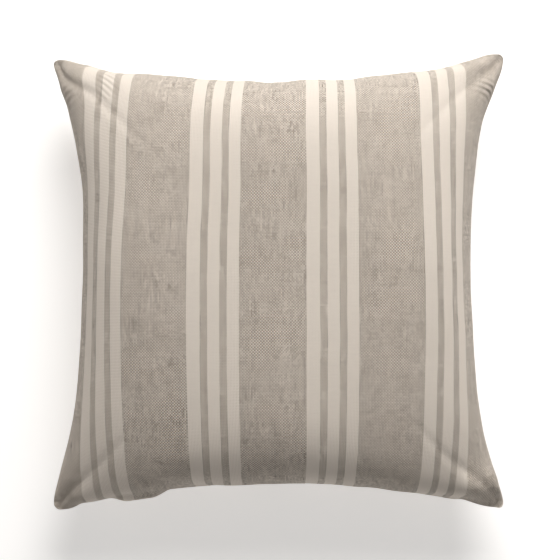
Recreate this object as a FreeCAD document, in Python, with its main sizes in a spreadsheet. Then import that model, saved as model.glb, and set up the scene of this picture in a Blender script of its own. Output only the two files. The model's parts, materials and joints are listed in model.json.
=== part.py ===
import FreeCAD, Part
import math
import os

import Sketcher

# A square throw pillow lying on its back: a two-panel woven cover with a concealed zip in its
# bottom (-Y) seam, and a stuffed insert inside it. +Z is up out of the front panel, +Y is the
# top edge of the cover, and the origin is on the supporting surface under the middle.
# Every sub-part is drawn with the seam plane at z = 0 and then lifted by rest_depth.

DIMENSIONS = {
    # the seam line of the cover, seen from above
    "tip_span_x": 480,
    "tip_span_y": 484,
    "waist_x": 419,
    "waist_y": 431,
    "tip_radius": 9,
    # how the two panels bulge away from the seam plane
    "crown_rise": 100,
    "rest_depth": 84,
    "crown_patch": 40,
    "rest_patch": 92,
    "side_fullness": 2.6,
    "ear_fade": 6.9,
    "crown_squareness": 0.965,
    "crown_roundness": 0.72,
    "wall_spread": 1.3,
    "cover_ear_fold": 3,
    "cover_ear": 2,
    "insert_ear_fold": 11,
    # cloth and sewing of the cover
    "cover_cloth": 0.8,
    "allowance": 12,
    "corner_trim": 12,
    "stitch_line": 4.2,
    "thread": 0.5,
    "overlock_width": 4.3,
    "overlock_wrap": 0.3,
    # the insert: how far it stays behind the cover, and its own cloth
    "insert_inset": 2.6,
    "insert_cloth": 0.5,
    "insert_edge": 13.2,
    "insert_ear": 26,
    "insert_allowance": 7,
    "insert_thread": 0.3,
    "filling_gap": 2,
    "filling_edge": 8,
    "closing_length": 110,
    "closing_gap": 0.9,
    # the zip: depths are measured inwards from the seam line
    "zip_half_angle": 9.35,
    "zip_end_room": 0.35,
    "slit_half": 0.8,
    "coil_depth": 5.3,
    "coil_thick": 1.9,
    "coil_half_gap": 0.45,
    "coil_half_width": 2.15,
    "coil_bevel": 0.45,
    "tape_thick": 0.5,
    "tape_bend": 4.4,
    "tape_lip": 3,
    "stitch": 0.3,
    "stop_angle": 0.14,
    # the slider and its pull
    "slider_length": 9,
    "slider_half_width": 3,
    "slider_plate": 0.6,
    "slider_play": 0.25,
    "slider_flange": 0.6,
    "post_half_width": 0.22,
    "post_length": 3,
    "neck_half_width": 0.5,
    "eye_reach": 2.8,
    "eye_radius": 1.3,
    "eye_hole": 0.56,
    "pin_radius": 0.5,
    "pull_length": 24,
    "pull_half_width": 2.7,
    "pull_thick": 1.2,
    "pull_root": 2,
    "fork_gap_half": 0.75,
    "fork_half_width": 1.5,
    "fork_radius": 1,
    # blank labels, lying between the cover and the insert
    "label_inset": 1.2,
    "label_cloth": 0.3,
    "care_label_wide": 32,
    "care_label_long": 30,
    "care_label_y": -96,
    "insert_tag_wide": 46,
    "insert_tag_long": 34,
    "insert_tag_y": 70,
}

# Share of the rise at which a form has a cross-section, from the seam to the flat patch.
LEVELS = (0, 0.08, 0.3, 0.62, 0.87, 1)
EDGE_FADE_LEVEL = 0.16
EAR_FADE_POWER = 8

FRONT, BACK = 1, -1
RISE = {FRONT: "dims.crown_rise", BACK: "dims.rest_depth"}
PATCH = {FRONT: "dims.crown_patch", BACK: "dims.rest_patch"}
SIDE_NAME = {FRONT: "front", BACK: "back"}

doc = FreeCAD.newDocument("throw_pillow")
sheet = doc.addObject("Spreadsheet::Sheet", "dims")
for row, (alias, value) in enumerate(DIMENSIONS.items(), start=1):
    sheet.set(f"A{row}", alias)
    sheet.set(f"B{row}", str(value))
    sheet.setAlias(f"B{row}", alias)
doc.recompute()


def number(expression):
    """The present value of an expression over the sheet."""
    value = sheet.evalExpression(expression)
    return float(getattr(value, "Value", value))


# The bottom seam is an arc of a large circle. The zip's parts turn about its centre.
BOW_RADIUS = (
    "(((dims.tip_span_x / 2 - dims.tip_radius)^2"
    " + (dims.waist_y / 2 - dims.tip_span_y / 2 + dims.tip_radius)^2 - dims.tip_radius^2)"
    " / (dims.tip_span_y - dims.waist_y))"
)
BOW_CENTRE_Y = f"(-dims.waist_y / 2 - {BOW_RADIUS})"


# ---------------------------------------------------------------- sketches and features


def new_body(name):
    body = doc.addObject("PartDesign::Body", name)
    body.AllowCompound = True
    return body


def new_sketch(body, name, plane="XY_Plane", offset=None):
    """An empty sketch on one of the body's own planes, moved along its normal by an expression."""
    sketch = body.newObject("Sketcher::SketchObject", name)
    origin_plane = next(f for f in body.Origin.OriginFeatures if f.Role == plane)
    sketch.AttachmentSupport = [(origin_plane, "")]
    sketch.MapMode = "FlatFace"
    if offset is not None:
        sketch.setExpression("AttachmentOffset.Base.z", offset)
    return sketch


def bind(sketch, constraint, name, expression):
    """Adds a dimension to a sketch and ties it to the sheet."""
    index = sketch.addConstraint(constraint)
    sketch.renameConstraint(index, name)
    sketch.setExpression(f"Constraints.{name}", expression)


def add_polygon(sketch, prefix, corners):
    """A closed polygon whose corners are pairs of expressions."""
    points = [FreeCAD.Vector(number(u), number(v), 0) for u, v in corners]
    first = sketch.GeometryCount
    count = len(points)
    for i, point in enumerate(points):
        sketch.addGeometry(Part.LineSegment(point, points[(i + 1) % count]), False)
    for i in range(count):
        following = first + (i + 1) % count
        sketch.addConstraint(Sketcher.Constraint("Coincident", first + i, 2, following, 1))
    for i, ((u, v), point) in enumerate(zip(corners, points)):
        along = Sketcher.Constraint("DistanceX", -1, 1, first + i, 1, point.x)
        across = Sketcher.Constraint("DistanceY", -1, 1, first + i, 1, point.y)
        bind(sketch, along, f"{prefix}_u{i}", u)
        bind(sketch, across, f"{prefix}_v{i}", v)


def add_circle(sketch, prefix, u, v, radius):
    """A circle whose centre and radius are expressions."""
    centre = FreeCAD.Vector(number(u), number(v), 0)
    index = sketch.addGeometry(Part.Circle(centre, FreeCAD.Vector(0, 0, 1), number(radius)), False)
    bind(sketch, Sketcher.Constraint("DistanceX", -1, 1, index, 3, centre.x), f"{prefix}_u", u)
    bind(sketch, Sketcher.Constraint("DistanceY", -1, 1, index, 3, centre.y), f"{prefix}_v", v)
    bind(sketch, Sketcher.Constraint("Radius", index, number(radius)), f"{prefix}_r", radius)


def add_outline(sketch, prefix, outline):
    """The pillow's outline: four long side arcs, hollow or full, tangent to four corner arcs."""
    half_x, half_y = number(outline["waist_x"]), number(outline["waist_y"])
    tip_x, tip_y = number(outline["tip_x"]), number(outline["tip_y"])
    radius = number(outline["radius"])
    corner_x, corner_y = tip_x - radius, tip_y - radius

    def bow(half, tip, other_corner):
        """Signed radius of a side arc: positive where the side is hollow."""
        return (other_corner**2 + (half - tip + radius) ** 2 - radius**2) / (2 * (tip - half))

    def touch(centre, corner, hollow):
        """The point where a corner arc meets a side arc."""
        toward = centre - corner
        toward.normalize()
        return corner + toward * (radius if hollow else -radius)

    def arc(centre, size, start, end):
        """An arc counter-clockwise from one point to another."""
        first = math.atan2(start.y - centre.y, start.x - centre.x)
        last = math.atan2(end.y - centre.y, end.x - centre.x)
        if last <= first:
            last += 2 * math.pi
        circle = Part.Circle(centre, FreeCAD.Vector(0, 0, 1), size)
        return Part.ArcOfCircle(circle, first, last)

    vector = FreeCAD.Vector
    bow_x = bow(half_x, tip_x, corner_y)
    bow_y = bow(half_y, tip_y, corner_x)
    corners = [vector(sx * corner_x, sy * corner_y, 0) for sx, sy in ((1, 1), (-1, 1), (-1, -1), (1, -1))]
    sides = [
        (vector(half_x + bow_x, 0, 0), bow_x),
        (vector(0, half_y + bow_y, 0), bow_y),
        (vector(-half_x - bow_x, 0, 0), bow_x),
        (vector(0, -half_y - bow_y, 0), bow_y),
    ]
    first = sketch.GeometryCount
    # Geometry runs side, corner, side, corner: side i lies between corner i - 1 and corner i.
    for i in range(4):
        centre, bow_radius = sides[i]
        hollow = bow_radius > 0
        before = touch(centre, corners[i - 1], hollow)
        after = touch(centre, corners[i], hollow)
        start, end = (after, before) if hollow else (before, after)
        sketch.addGeometry(arc(centre, abs(bow_radius), start, end), False)
        next_centre, next_bow = sides[(i + 1) % 4]
        leaving = touch(next_centre, corners[i], next_bow > 0)
        sketch.addGeometry(arc(corners[i], radius, after, leaving), False)
    for i in range(4):
        side, corner = first + 2 * i, first + 2 * i + 1
        following = first + (2 * i + 2) % 8
        side_end = 1 if sides[i][1] > 0 else 2
        following_start = 2 if sides[(i + 1) % 4][1] > 0 else 1
        sketch.addConstraint(Sketcher.Constraint("Tangent", side, side_end, corner, 1))
        sketch.addConstraint(Sketcher.Constraint("Tangent", corner, 2, following, following_start))
    corner_ids = [first + 1, first + 3, first + 5, first + 7]
    for other in corner_ids[1:]:
        sketch.addConstraint(Sketcher.Constraint("Equal", corner_ids[0], other))
    sketch.addConstraint(Sketcher.Constraint("Symmetric", corner_ids[0], 3, corner_ids[1], 3, -2))
    sketch.addConstraint(Sketcher.Constraint("Symmetric", corner_ids[0], 3, corner_ids[3], 3, -1))
    sketch.addConstraint(Sketcher.Constraint("Symmetric", corner_ids[0], 3, corner_ids[2], 3, -1, 1))
    sketch.addConstraint(Sketcher.Constraint("Equal", first, first + 4))
    sketch.addConstraint(Sketcher.Constraint("Equal", first + 2, first + 6))
    across = Sketcher.Constraint("DistanceX", -1, 1, corner_ids[0], 3, corner_x)
    upward = Sketcher.Constraint("DistanceY", -1, 1, corner_ids[0], 3, corner_y)
    bind(sketch, across, f"{prefix}_corner_x", f"{outline['tip_x']} - {outline['radius']}")
    bind(sketch, upward, f"{prefix}_corner_y", f"{outline['tip_y']} - {outline['radius']}")
    bind(sketch, Sketcher.Constraint("Radius", corner_ids[0], radius), f"{prefix}_radius", outline["radius"])
    # A point in the middle of the right side and of the top side fixes how far each is drawn in.
    right = sketch.addGeometry(Part.Point(vector(half_x, 0, 0)), True)
    top = sketch.addGeometry(Part.Point(vector(0, half_y, 0)), True)
    sketch.addConstraint(Sketcher.Constraint("PointOnObject", right, 1, -1))
    sketch.addConstraint(Sketcher.Constraint("PointOnObject", top, 1, -2))
    sketch.addConstraint(Sketcher.Constraint("PointOnObject", right, 1, first))
    sketch.addConstraint(Sketcher.Constraint("PointOnObject", top, 1, first + 2))
    middle_x = Sketcher.Constraint("DistanceX", -1, 1, right, 1, half_x)
    middle_y = Sketcher.Constraint("DistanceY", -1, 1, top, 1, half_y)
    bind(sketch, middle_x, f"{prefix}_waist_x", outline["waist_x"])
    bind(sketch, middle_y, f"{prefix}_waist_y", outline["waist_y"])


def pad(body, sketch, length, symmetric=False, backwards=False):
    feature = body.newObject("PartDesign::Pad", f"{sketch.Name}_pad")
    feature.Profile = sketch
    feature.setExpression("Length", length)
    feature.SideType = "Symmetric" if symmetric else "One side"
    feature.Reversed = backwards
    return feature


def turn_about_bow(body, sketch, angle):
    """Revolves a profile drawn across the zip about the centre of the bottom seam's arc."""
    axis = sketch.addGeometry(
        Part.LineSegment(
            FreeCAD.Vector(number(BOW_CENTRE_Y), 0, 0), FreeCAD.Vector(number(BOW_CENTRE_Y), 10, 0)
        ),
        True,
    )
    sketch.addConstraint(Sketcher.Constraint("Vertical", axis))
    sketch.addConstraint(Sketcher.Constraint("PointOnObject", axis, 1, -1))
    sketch.addConstraint(Sketcher.Constraint("DistanceY", axis, 1, axis, 2, 10))
    from_origin = Sketcher.Constraint("DistanceX", -1, 1, axis, 1, number(BOW_CENTRE_Y))
    bind(sketch, from_origin, "bow_centre", BOW_CENTRE_Y)
    feature = body.newObject("PartDesign::Revolution", f"{sketch.Name}_turn")
    feature.Profile = sketch
    feature.ReferenceAxis = (sketch, ["Axis0"])
    feature.setExpression("Angle", angle)
    feature.Midplane = True
    return feature


def cut(name, base, tool):
    feature = doc.addObject("Part::Cut", name)
    feature.Base = base
    feature.Tool = tool
    return feature


def fuse(name, pieces):
    feature = doc.addObject("Part::MultiFuse", name)
    feature.Shapes = pieces
    return feature


def common(name, base, tool):
    feature = doc.addObject("Part::Common", name)
    feature.Base = base
    feature.Tool = tool
    return feature


def at_depth(expression):
    """The Y of a point that lies this far inside the bottom seam line."""
    return f"({expression} - dims.waist_y / 2)"


# ---------------------------------------------------------------- the pillow's nested forms


def cross_section(side, level, inset, edge="0", ear="0", ear_fold="0"):
    """The outline of one half at a share of its rise, set in from the cover's outside.

    The sides follow one rounded profile from the seam up. The corners stand out beyond the sides
    at the seam, as ears, and fade within the first part of the rise into a soft square.
    """
    fade = max(0, 1 - level / EDGE_FADE_LEVEL) ** 2
    ear_fade = (1 - level) ** EAR_FADE_POWER
    patch = PATCH[side]
    side_share = f"(1 - {level})^(1 / dims.side_fullness)"
    drawn_in = f"({inset} * dims.wall_spread + {edge} * {fade:.4f})"
    tip_drawn_in = f"({inset} * dims.wall_spread + {ear_fold} * {ear_fade:.4f} + {ear} * {fade:.4f})"
    section = {"height": f"{side} * ({RISE[side]} - {inset}) * {level}"}
    for axis in "xy":
        middle = f"({patch} + (dims.waist_{axis} / 2 - {patch}) * {side_share})"
        ear_ratio = f"(dims.tip_span_{axis} / dims.waist_{axis} - dims.crown_squareness)"
        ratio = f"(dims.crown_squareness + {ear_ratio} * (1 - {level})^dims.ear_fade)"
        section[f"waist_{axis}"] = f"({middle} - {drawn_in})"
        section[f"tip_{axis}"] = f"({middle} * {ratio} - {tip_drawn_in})"
    seam_roundness = "(2 * dims.tip_radius / dims.tip_span_x)"
    roundness = f"({seam_roundness} + (dims.crown_roundness - {seam_roundness}) * {level}^0.5)"
    section["radius"] = f"({section['tip_x']} * {roundness})"
    return section


def half_form(name, side, inset, edge="0", ear="0", ear_fold="0", start=None):
    """A solid dome from the seam plane, or from a height above it, to the crown or the resting face."""
    body = new_body(name)
    sketches = []
    for i, level in enumerate(LEVELS):
        outline = cross_section(side, level, inset, edge, ear, ear_fold)
        height = f"{side} * {start}" if start and level == 0 else outline["height"]
        sketch = new_sketch(body, f"{name}_section{i}", offset=height)
        add_outline(sketch, "outline", outline)
        sketches.append(sketch)
    loft = body.newObject("PartDesign::AdditiveLoft", f"{name}_loft")
    loft.Profile = sketches[0]
    loft.Sections = sketches[1:]
    loft.Ruled = False
    return body


def ring_outline(drawn_in, tip_drawn_in, radius):
    """An outline in the seam plane, set in from the cover's seam line."""
    return {
        "waist_x": f"(dims.waist_x / 2 - {drawn_in})",
        "waist_y": f"(dims.waist_y / 2 - {drawn_in})",
        "tip_x": f"(dims.tip_span_x / 2 - {tip_drawn_in})",
        "tip_y": f"(dims.tip_span_y / 2 - {tip_drawn_in})",
        "radius": radius,
    }


def thin_shell(name, side, outside, inside, lip, cloth):
    """A sewn panel: the cloth between two domes, with its allowance turned in to the lip's outline.

    The panel is one thin skin of double curvature, so its faces are taken from the two domes and
    joined by the flat bands of the allowance.
    """

    def split(solid, height):
        """The faces of a dome without its flat face at a height, and that face's edge."""
        flat = [f for f in solid.Faces if abs(f.BoundBox.ZMin - height) < 1e-6 > f.BoundBox.ZLength - 1e-6]
        rest = [f for f in solid.Faces if not any(f.isSame(g) for g in flat)]
        return rest, flat[0].OuterWire

    thickness = side * number(cloth)
    skin, seam_wire = split(outside.Shape, 0)
    lining, lining_wire = split(inside.Shape, thickness)
    lip_wire = Part.Wire(lip.Shape.Edges)
    raised_lip = lip_wire.translated(FreeCAD.Vector(0, 0, thickness))
    seam_band = Part.makeFace([seam_wire, lip_wire], "Part::FaceMakerBullseye")
    inner_band = Part.makeFace([lining_wire, raised_lip], "Part::FaceMakerBullseye")
    raw_edge = lip_wire.extrude(FreeCAD.Vector(0, 0, thickness))
    shell = Part.makeShell([*skin, *lining, seam_band, inner_band, *raw_edge.Faces])
    shell.sewShape()
    solid = Part.makeSolid(shell)
    if solid.Volume < 0:
        solid.reverse()
    feature = doc.addObject("Part::Feature", name)
    feature.Shape = solid
    return feature


def seam_ring(name, outer, inner, bottom, thickness):
    """A flat band that follows the seam line, between two outlines set in from it."""
    body = new_body(name)
    sketch = new_sketch(body, f"{name}_band", offset=bottom)
    add_outline(sketch, "outer", ring_outline(*outer))
    add_outline(sketch, "inner", ring_outline(*inner))
    pad(body, sketch, thickness)
    return body


def seam_line(name, drawn_in, tip_drawn_in, radius):
    """A sketch of one outline in the seam plane."""
    sketch = doc.addObject("Sketcher::SketchObject", name)
    add_outline(sketch, "outline", ring_outline(drawn_in, tip_drawn_in, radius))
    return sketch


# Outlines set in from the cover's seam line: at the sides, at the corners, and the corner radius.
RAW_EDGE = ("dims.allowance", "(dims.allowance + dims.corner_trim)", "8")
OVERLOCK_IN = "(dims.allowance + dims.overlock_wrap)"
OVERLOCK_OUT = f"({OVERLOCK_IN} - dims.overlock_width)"
OVERLOCK_INNER = (OVERLOCK_IN, f"({OVERLOCK_IN} + dims.corner_trim)", "8")
OVERLOCK_OUTER = (OVERLOCK_OUT, f"({OVERLOCK_OUT} + dims.corner_trim)", "8")
UNDER_OVERLOCK = (f"({OVERLOCK_OUT} - 1)", f"({OVERLOCK_OUT} - 1 + dims.corner_trim)", "8")
SEAM_THREAD_OUTER = ("dims.stitch_line", "(dims.stitch_line + dims.corner_trim + 2)", "8")
SEAM_THREAD_INNER = (
    "(dims.stitch_line + dims.thread)",
    "(dims.stitch_line + dims.corner_trim + 2 + dims.thread)",
    "8",
)

# The insert's own seam line lies behind the cover's allowance.
INSERT_WAIST = "(dims.insert_inset * dims.wall_spread + dims.insert_edge)"
INSERT_TIP = "(dims.insert_inset * dims.wall_spread + dims.insert_ear_fold + dims.insert_ear)"
INSERT_RAW_EDGE = (
    f"({INSERT_WAIST} + dims.insert_allowance)",
    f"({INSERT_TIP} + dims.insert_allowance)",
    "5",
)
INSERT_THREAD_OUTER = (f"({INSERT_WAIST} + 2.5)", f"({INSERT_TIP} + 2.5)", "5")
INSERT_THREAD_INNER = (
    f"({INSERT_WAIST} + 2.5 + dims.insert_thread)",
    f"({INSERT_TIP} + 2.5 + dims.insert_thread)",
    "5",
)


# ---------------------------------------------------------------- the cover


def zip_cutter(name, half_height):
    """The space that the zip leaves in the bottom seam."""
    body = new_body(name)
    sketch = new_sketch(body, f"{name}_profile", "YZ_Plane")
    outside, inside = at_depth("-4"), at_depth("(dims.allowance + 3)")
    corners = (
        (outside, f"-{half_height}"),
        (inside, f"-{half_height}"),
        (inside, half_height),
        (outside, half_height),
    )
    add_polygon(sketch, "slit", corners)
    turn_about_bow(body, sketch, "2 * (dims.zip_half_angle + dims.zip_end_room)")
    return body


def two_rows(name, outer, inner, height, thickness):
    """A line of lockstitch: the thread that lies on each face of the two allowances."""
    rows = [
        seam_ring(f"{name}_above", outer, inner, height, thickness),
        seam_ring(f"{name}_below", outer, inner, f"-{height} - {thickness}", thickness),
    ]
    return fuse(name, rows)


def make_cover():
    """Front and back panels with their allowances, and the two rows of sewing that join them."""
    slit = zip_cutter("zip_slit", "dims.slit_half")
    wrap = "(dims.cover_cloth + dims.overlock_wrap)"
    wide_slit = zip_cutter("sewing_ends", f"({wrap} + 0.5)")
    lip = seam_line("cover_raw_edge", *RAW_EDGE)
    halves = {}
    for side in (FRONT, BACK):
        word = SIDE_NAME[side]
        outside = half_form(f"cover_{word}_outside", side, "0")
        lining = half_form(
            f"cover_{word}_inside",
            side,
            "dims.cover_cloth",
            edge="dims.cover_cloth / 4",
            ear="dims.cover_ear",
            ear_fold="dims.cover_ear_fold",
            start="dims.cover_cloth",
        )
        halves[side] = outside, lining
    doc.recompute()
    pieces = {}
    for side, (outside, lining) in halves.items():
        word = SIDE_NAME[side]
        sewn = thin_shell(f"cover_{word}_sewn", side, outside, lining, lip, "dims.cover_cloth")
        pieces[f"cover_{word}_panel"] = cut(f"cover_{word}_cut", sewn, slit)
    thread_rows = two_rows(
        "cover_lockstitch", SEAM_THREAD_OUTER, SEAM_THREAD_INNER, "dims.cover_cloth", "dims.thread / 2"
    )
    pieces["cover_seam_thread"] = cut("cover_seam_thread_cut", thread_rows, wide_slit)
    wrapped = seam_ring("overlock_outside", OVERLOCK_OUTER, OVERLOCK_INNER, f"-{wrap}", f"2 * {wrap}")
    under = seam_ring(
        "overlock_inside", UNDER_OVERLOCK, RAW_EDGE, "-dims.cover_cloth", "2 * dims.cover_cloth"
    )
    overlock = cut("overlock_channel", wrapped, under)
    pieces["cover_overlock_thread"] = cut("cover_overlock_cut", overlock, wide_slit)
    return pieces


# ---------------------------------------------------------------- the zip


def strip_on_bow(name, corners, angle="2 * dims.zip_half_angle"):
    """A strip of constant section that follows the bottom seam's arc."""
    body = new_body(name)
    sketch = new_sketch(body, f"{name}_profile", "YZ_Plane")
    polygons = corners if isinstance(corners[0][0], tuple) else (corners,)
    for i, polygon in enumerate(polygons):
        add_polygon(sketch, f"edge{i}", polygon)
    turn_about_bow(body, sketch, angle)
    return body


COIL_FRONT = at_depth("dims.coil_depth")
COIL_BACK = at_depth("(dims.coil_depth + dims.coil_thick)")
TAPE_BACK = at_depth("(dims.coil_depth + dims.coil_thick + dims.tape_thick)")


def coil_profile(sign):
    """One half of the chain, as a bar with bevelled edges."""
    near, far = f"{sign} * dims.coil_half_gap", f"{sign} * dims.coil_half_width"
    near_in = f"{sign} * (dims.coil_half_gap + dims.coil_bevel)"
    far_in = f"{sign} * (dims.coil_half_width - dims.coil_bevel)"
    front_in = at_depth("(dims.coil_depth + dims.coil_bevel)")
    back_in = at_depth("(dims.coil_depth + dims.coil_thick - dims.coil_bevel)")
    return (
        (COIL_FRONT, near_in),
        (front_in, near),
        (back_in, near),
        (COIL_BACK, near_in),
        (COIL_BACK, far_in),
        (back_in, far),
        (front_in, far),
        (COIL_FRONT, far_in),
    )


def tape_profile(sign):
    """A tape that runs straight back from the chain, then leans in along the panel."""
    lean = "(dims.coil_depth + dims.coil_thick + 0.72 * dims.tape_lip)"
    lean_back = at_depth(f"({lean} + dims.tape_thick)")
    near = f"{sign} * dims.coil_half_gap"
    bend = f"{sign} * dims.tape_bend"
    bend_back = f"{sign} * (dims.tape_bend - 0.2)"
    end = f"{sign} * (dims.tape_bend + 0.69 * dims.tape_lip)"
    return (
        (COIL_BACK, near),
        (COIL_BACK, bend),
        (at_depth(lean), end),
        (lean_back, end),
        (TAPE_BACK, bend_back),
        (TAPE_BACK, near),
    )


def stitch_profile(sign):
    """The row of sewing that holds one tape, a thread standing on the tape's inner face."""
    stitch_back = at_depth("(dims.coil_depth + dims.coil_thick + dims.tape_thick + dims.stitch)")
    low = f"{sign} * (dims.tape_bend - 1.2)"
    high = f"{sign} * (dims.tape_bend - 1.2 + dims.stitch)"
    return ((TAPE_BACK, low), (stitch_back, low), (stitch_back, high), (TAPE_BACK, high))


def place_on_bow(target, angle):
    """Turns a piece drawn at x = 0 about the centre of the seam's arc, towards -X."""
    target.setExpression("Placement.Base.x", f"{BOW_CENTRE_Y} * sin({angle} * 1deg)")
    target.setExpression("Placement.Base.y", f"{BOW_CENTRE_Y} * (1 - cos({angle} * 1deg))")
    target.setExpression("Placement.Rotation.Angle", angle)


def slider_angle():
    """Where the closed slider stands: its leading end is level with the end of the coils."""
    half_turn = f"(dims.slider_length / 2 + 0.3) / {BOW_RADIUS} * 180 / pi"
    return f"(dims.zip_half_angle - {half_turn})"


def make_slider():
    """Two plates joined by a post between the coils, and a neck through the slit to an eye."""
    body = new_body("zipper_slider_body")
    play = "dims.slider_play"
    plate = "dims.slider_plate"
    front_in = f"(dims.coil_depth - {play})"
    back_in = f"(dims.coil_depth + dims.coil_thick + dims.tape_thick + {play})"
    front_out, back_out = f"({front_in} - {plate})", f"({back_in} + {plate})"
    flange_end = f"(dims.coil_depth + dims.coil_thick - {play})"
    wide = "dims.slider_half_width"
    bevelled = f"({wide} - {plate})"
    rail = f"({wide} - dims.slider_flange)"
    post = "dims.post_half_width"
    # The post's web, with both plates, at the leading end.
    web = new_sketch(body, "slider_web", "YZ_Plane", "-dims.slider_length / 2")
    web_corners = (
        (at_depth(front_out), f"-{bevelled}"),
        (at_depth(front_in), f"-{bevelled}"),
        (at_depth(front_in), f"-{post}"),
        (at_depth(back_in), f"-{post}"),
        (at_depth(back_in), f"-{bevelled}"),
        (at_depth(back_out), f"-{bevelled}"),
        (at_depth(back_out), bevelled),
        (at_depth(back_in), bevelled),
        (at_depth(back_in), post),
        (at_depth(front_in), post),
        (at_depth(front_in), bevelled),
        (at_depth(front_out), bevelled),
    )
    add_polygon(web, "web", web_corners)
    pad(body, web, "dims.post_length")
    # The front plate wraps round the coils, and the back plate lies behind the tapes.
    plates = new_sketch(body, "slider_plates", "YZ_Plane")
    front_corners = (
        (at_depth(front_out), f"-{bevelled}"),
        (at_depth(front_in), f"-{wide}"),
        (at_depth(flange_end), f"-{wide}"),
        (at_depth(flange_end), f"-{rail}"),
        (at_depth(front_in), f"-{rail}"),
        (at_depth(front_in), rail),
        (at_depth(flange_end), rail),
        (at_depth(flange_end), wide),
        (at_depth(front_in), wide),
        (at_depth(front_out), bevelled),
    )
    back_corners = (
        (at_depth(back_in), f"-{wide}"),
        (at_depth(back_out), f"-{bevelled}"),
        (at_depth(back_out), bevelled),
        (at_depth(back_in), wide),
    )
    add_polygon(plates, "front", front_corners)
    add_polygon(plates, "back", back_corners)
    pad(body, plates, "dims.slider_length", symmetric=True)
    # The neck reaches out through the slit and ends in the eye that the pull hangs on.
    neck = new_sketch(body, "slider_neck")
    neck_corners = (
        ("-dims.eye_radius", at_depth(front_in)),
        ("-dims.eye_radius", at_depth("-dims.eye_reach")),
        ("dims.eye_radius", at_depth("-dims.eye_reach")),
        ("dims.eye_radius", at_depth(front_in)),
    )
    add_polygon(neck, "neck", neck_corners)
    pad(body, neck, "2 * dims.neck_half_width", symmetric=True)
    eye = new_sketch(body, "slider_eye")
    add_circle(eye, "eye", "0", at_depth("-dims.eye_reach"), "dims.eye_radius")
    pad(body, eye, "2 * dims.neck_half_width", symmetric=True)
    hole = new_sketch(body, "slider_hole")
    add_circle(hole, "hole", "0", at_depth("-dims.eye_reach"), "dims.eye_hole")
    drilled = body.newObject("PartDesign::Pocket", "slider_hole_pocket")
    drilled.Profile = hole
    drilled.setExpression("Length", "4 * dims.neck_half_width")
    drilled.SideType = "Symmetric"
    place_on_bow(body, slider_angle())
    return body


def make_pull():
    """A flat tapering tab whose fork and pin turn in the slider's eye."""
    body = new_body("zipper_pull_tab")
    pivot_y = at_depth("-dims.eye_reach")
    # The tab lies along the seam. Its sketch plane faces -Y, so it is offset by the negative of Y.
    blade = new_sketch(body, "pull_blade", "XZ_Plane", f"-1 * {pivot_y}")
    wide = "dims.pull_half_width"
    length = "dims.pull_length"
    blade_corners = (
        ("dims.pull_root", "-dims.fork_half_width"),
        (f"0.35 * {length}", "-dims.fork_half_width"),
        (f"0.62 * {length}", f"-{wide}"),
        (f"0.92 * {length}", f"-{wide}"),
        (length, f"-0.6 * {wide}"),
        (length, f"0.6 * {wide}"),
        (f"0.92 * {length}", wide),
        (f"0.62 * {length}", wide),
        (f"0.35 * {length}", "dims.fork_half_width"),
        ("dims.pull_root", "dims.fork_half_width"),
    )
    add_polygon(blade, "blade", blade_corners)
    add_circle(blade, "grip", f"0.84 * {length}", "0", f"0.45 * {wide}")
    pad(body, blade, "dims.pull_thick", symmetric=True)
    arms = new_sketch(body, "pull_arms")
    half_arm = "dims.pull_thick / 2"
    arm_corners = (
        ("0", f"{pivot_y} - {half_arm}"),
        ("dims.pull_root + 1", f"{pivot_y} - {half_arm}"),
        ("dims.pull_root + 1", f"{pivot_y} + {half_arm}"),
        ("0", f"{pivot_y} + {half_arm}"),
    )
    add_polygon(arms, "arm", arm_corners)
    pad(body, arms, "2 * dims.fork_half_width", symmetric=True)
    knuckle = new_sketch(body, "pull_knuckle")
    add_circle(knuckle, "knuckle", "0", pivot_y, "dims.fork_radius")
    pad(body, knuckle, "2 * dims.fork_half_width", symmetric=True)
    gap = new_sketch(body, "pull_gap")
    gap_corners = (
        ("-dims.fork_radius - 1", f"{pivot_y} - dims.fork_radius - 1"),
        ("dims.eye_radius + 0.3", f"{pivot_y} - dims.fork_radius - 1"),
        ("dims.eye_radius + 0.3", f"{pivot_y} + dims.fork_radius + 1"),
        ("-dims.fork_radius - 1", f"{pivot_y} + dims.fork_radius + 1"),
    )
    add_polygon(gap, "gap", gap_corners)
    slot = body.newObject("PartDesign::Pocket", "pull_gap_pocket")
    slot.Profile = gap
    slot.setExpression("Length", "2 * dims.fork_gap_half")
    slot.SideType = "Symmetric"
    pin = new_sketch(body, "pull_pin")
    add_circle(pin, "pin", "0", pivot_y, "dims.pin_radius")
    pad(body, pin, "2 * dims.fork_half_width", symmetric=True)
    place_on_bow(body, slider_angle())
    return body


def make_zipper():
    """Tapes, coils, sewing, stops, slider and pull, all on the bottom seam's arc."""
    pieces = {}
    for word, sign in (("upper", "1"), ("lower", "-1")):
        pieces[f"zipper_tape_{word}"] = strip_on_bow(f"tape_{word}", tape_profile(sign))
        pieces[f"zipper_coil_{word}"] = strip_on_bow(f"coil_{word}", coil_profile(sign))
    both_rows = (stitch_profile("1"), stitch_profile("-1"))
    pieces["zipper_stitching"] = strip_on_bow("zip_stitching", both_rows)
    both_coils = (coil_profile("1"), coil_profile("-1"))
    stop_place = "(dims.zip_half_angle + dims.stop_angle / 2 + 0.01)"
    top_stops = strip_on_bow("top_stops", both_coils, "dims.stop_angle")
    place_on_bow(top_stops, stop_place)
    pieces["zipper_top_stops"] = top_stops
    across = "dims.coil_half_width"
    bridge = (
        (COIL_FRONT, f"-{across}"),
        (COIL_BACK, f"-{across}"),
        (COIL_BACK, across),
        (COIL_FRONT, across),
    )
    bottom_stop = strip_on_bow("bottom_stop", bridge, "dims.stop_angle")
    place_on_bow(bottom_stop, f"(-1 * {stop_place})")
    pieces["zipper_bottom_stop"] = bottom_stop
    pieces["zipper_slider_body"] = make_slider()
    pieces["zipper_pull_tab"] = make_pull()
    return pieces


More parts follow.
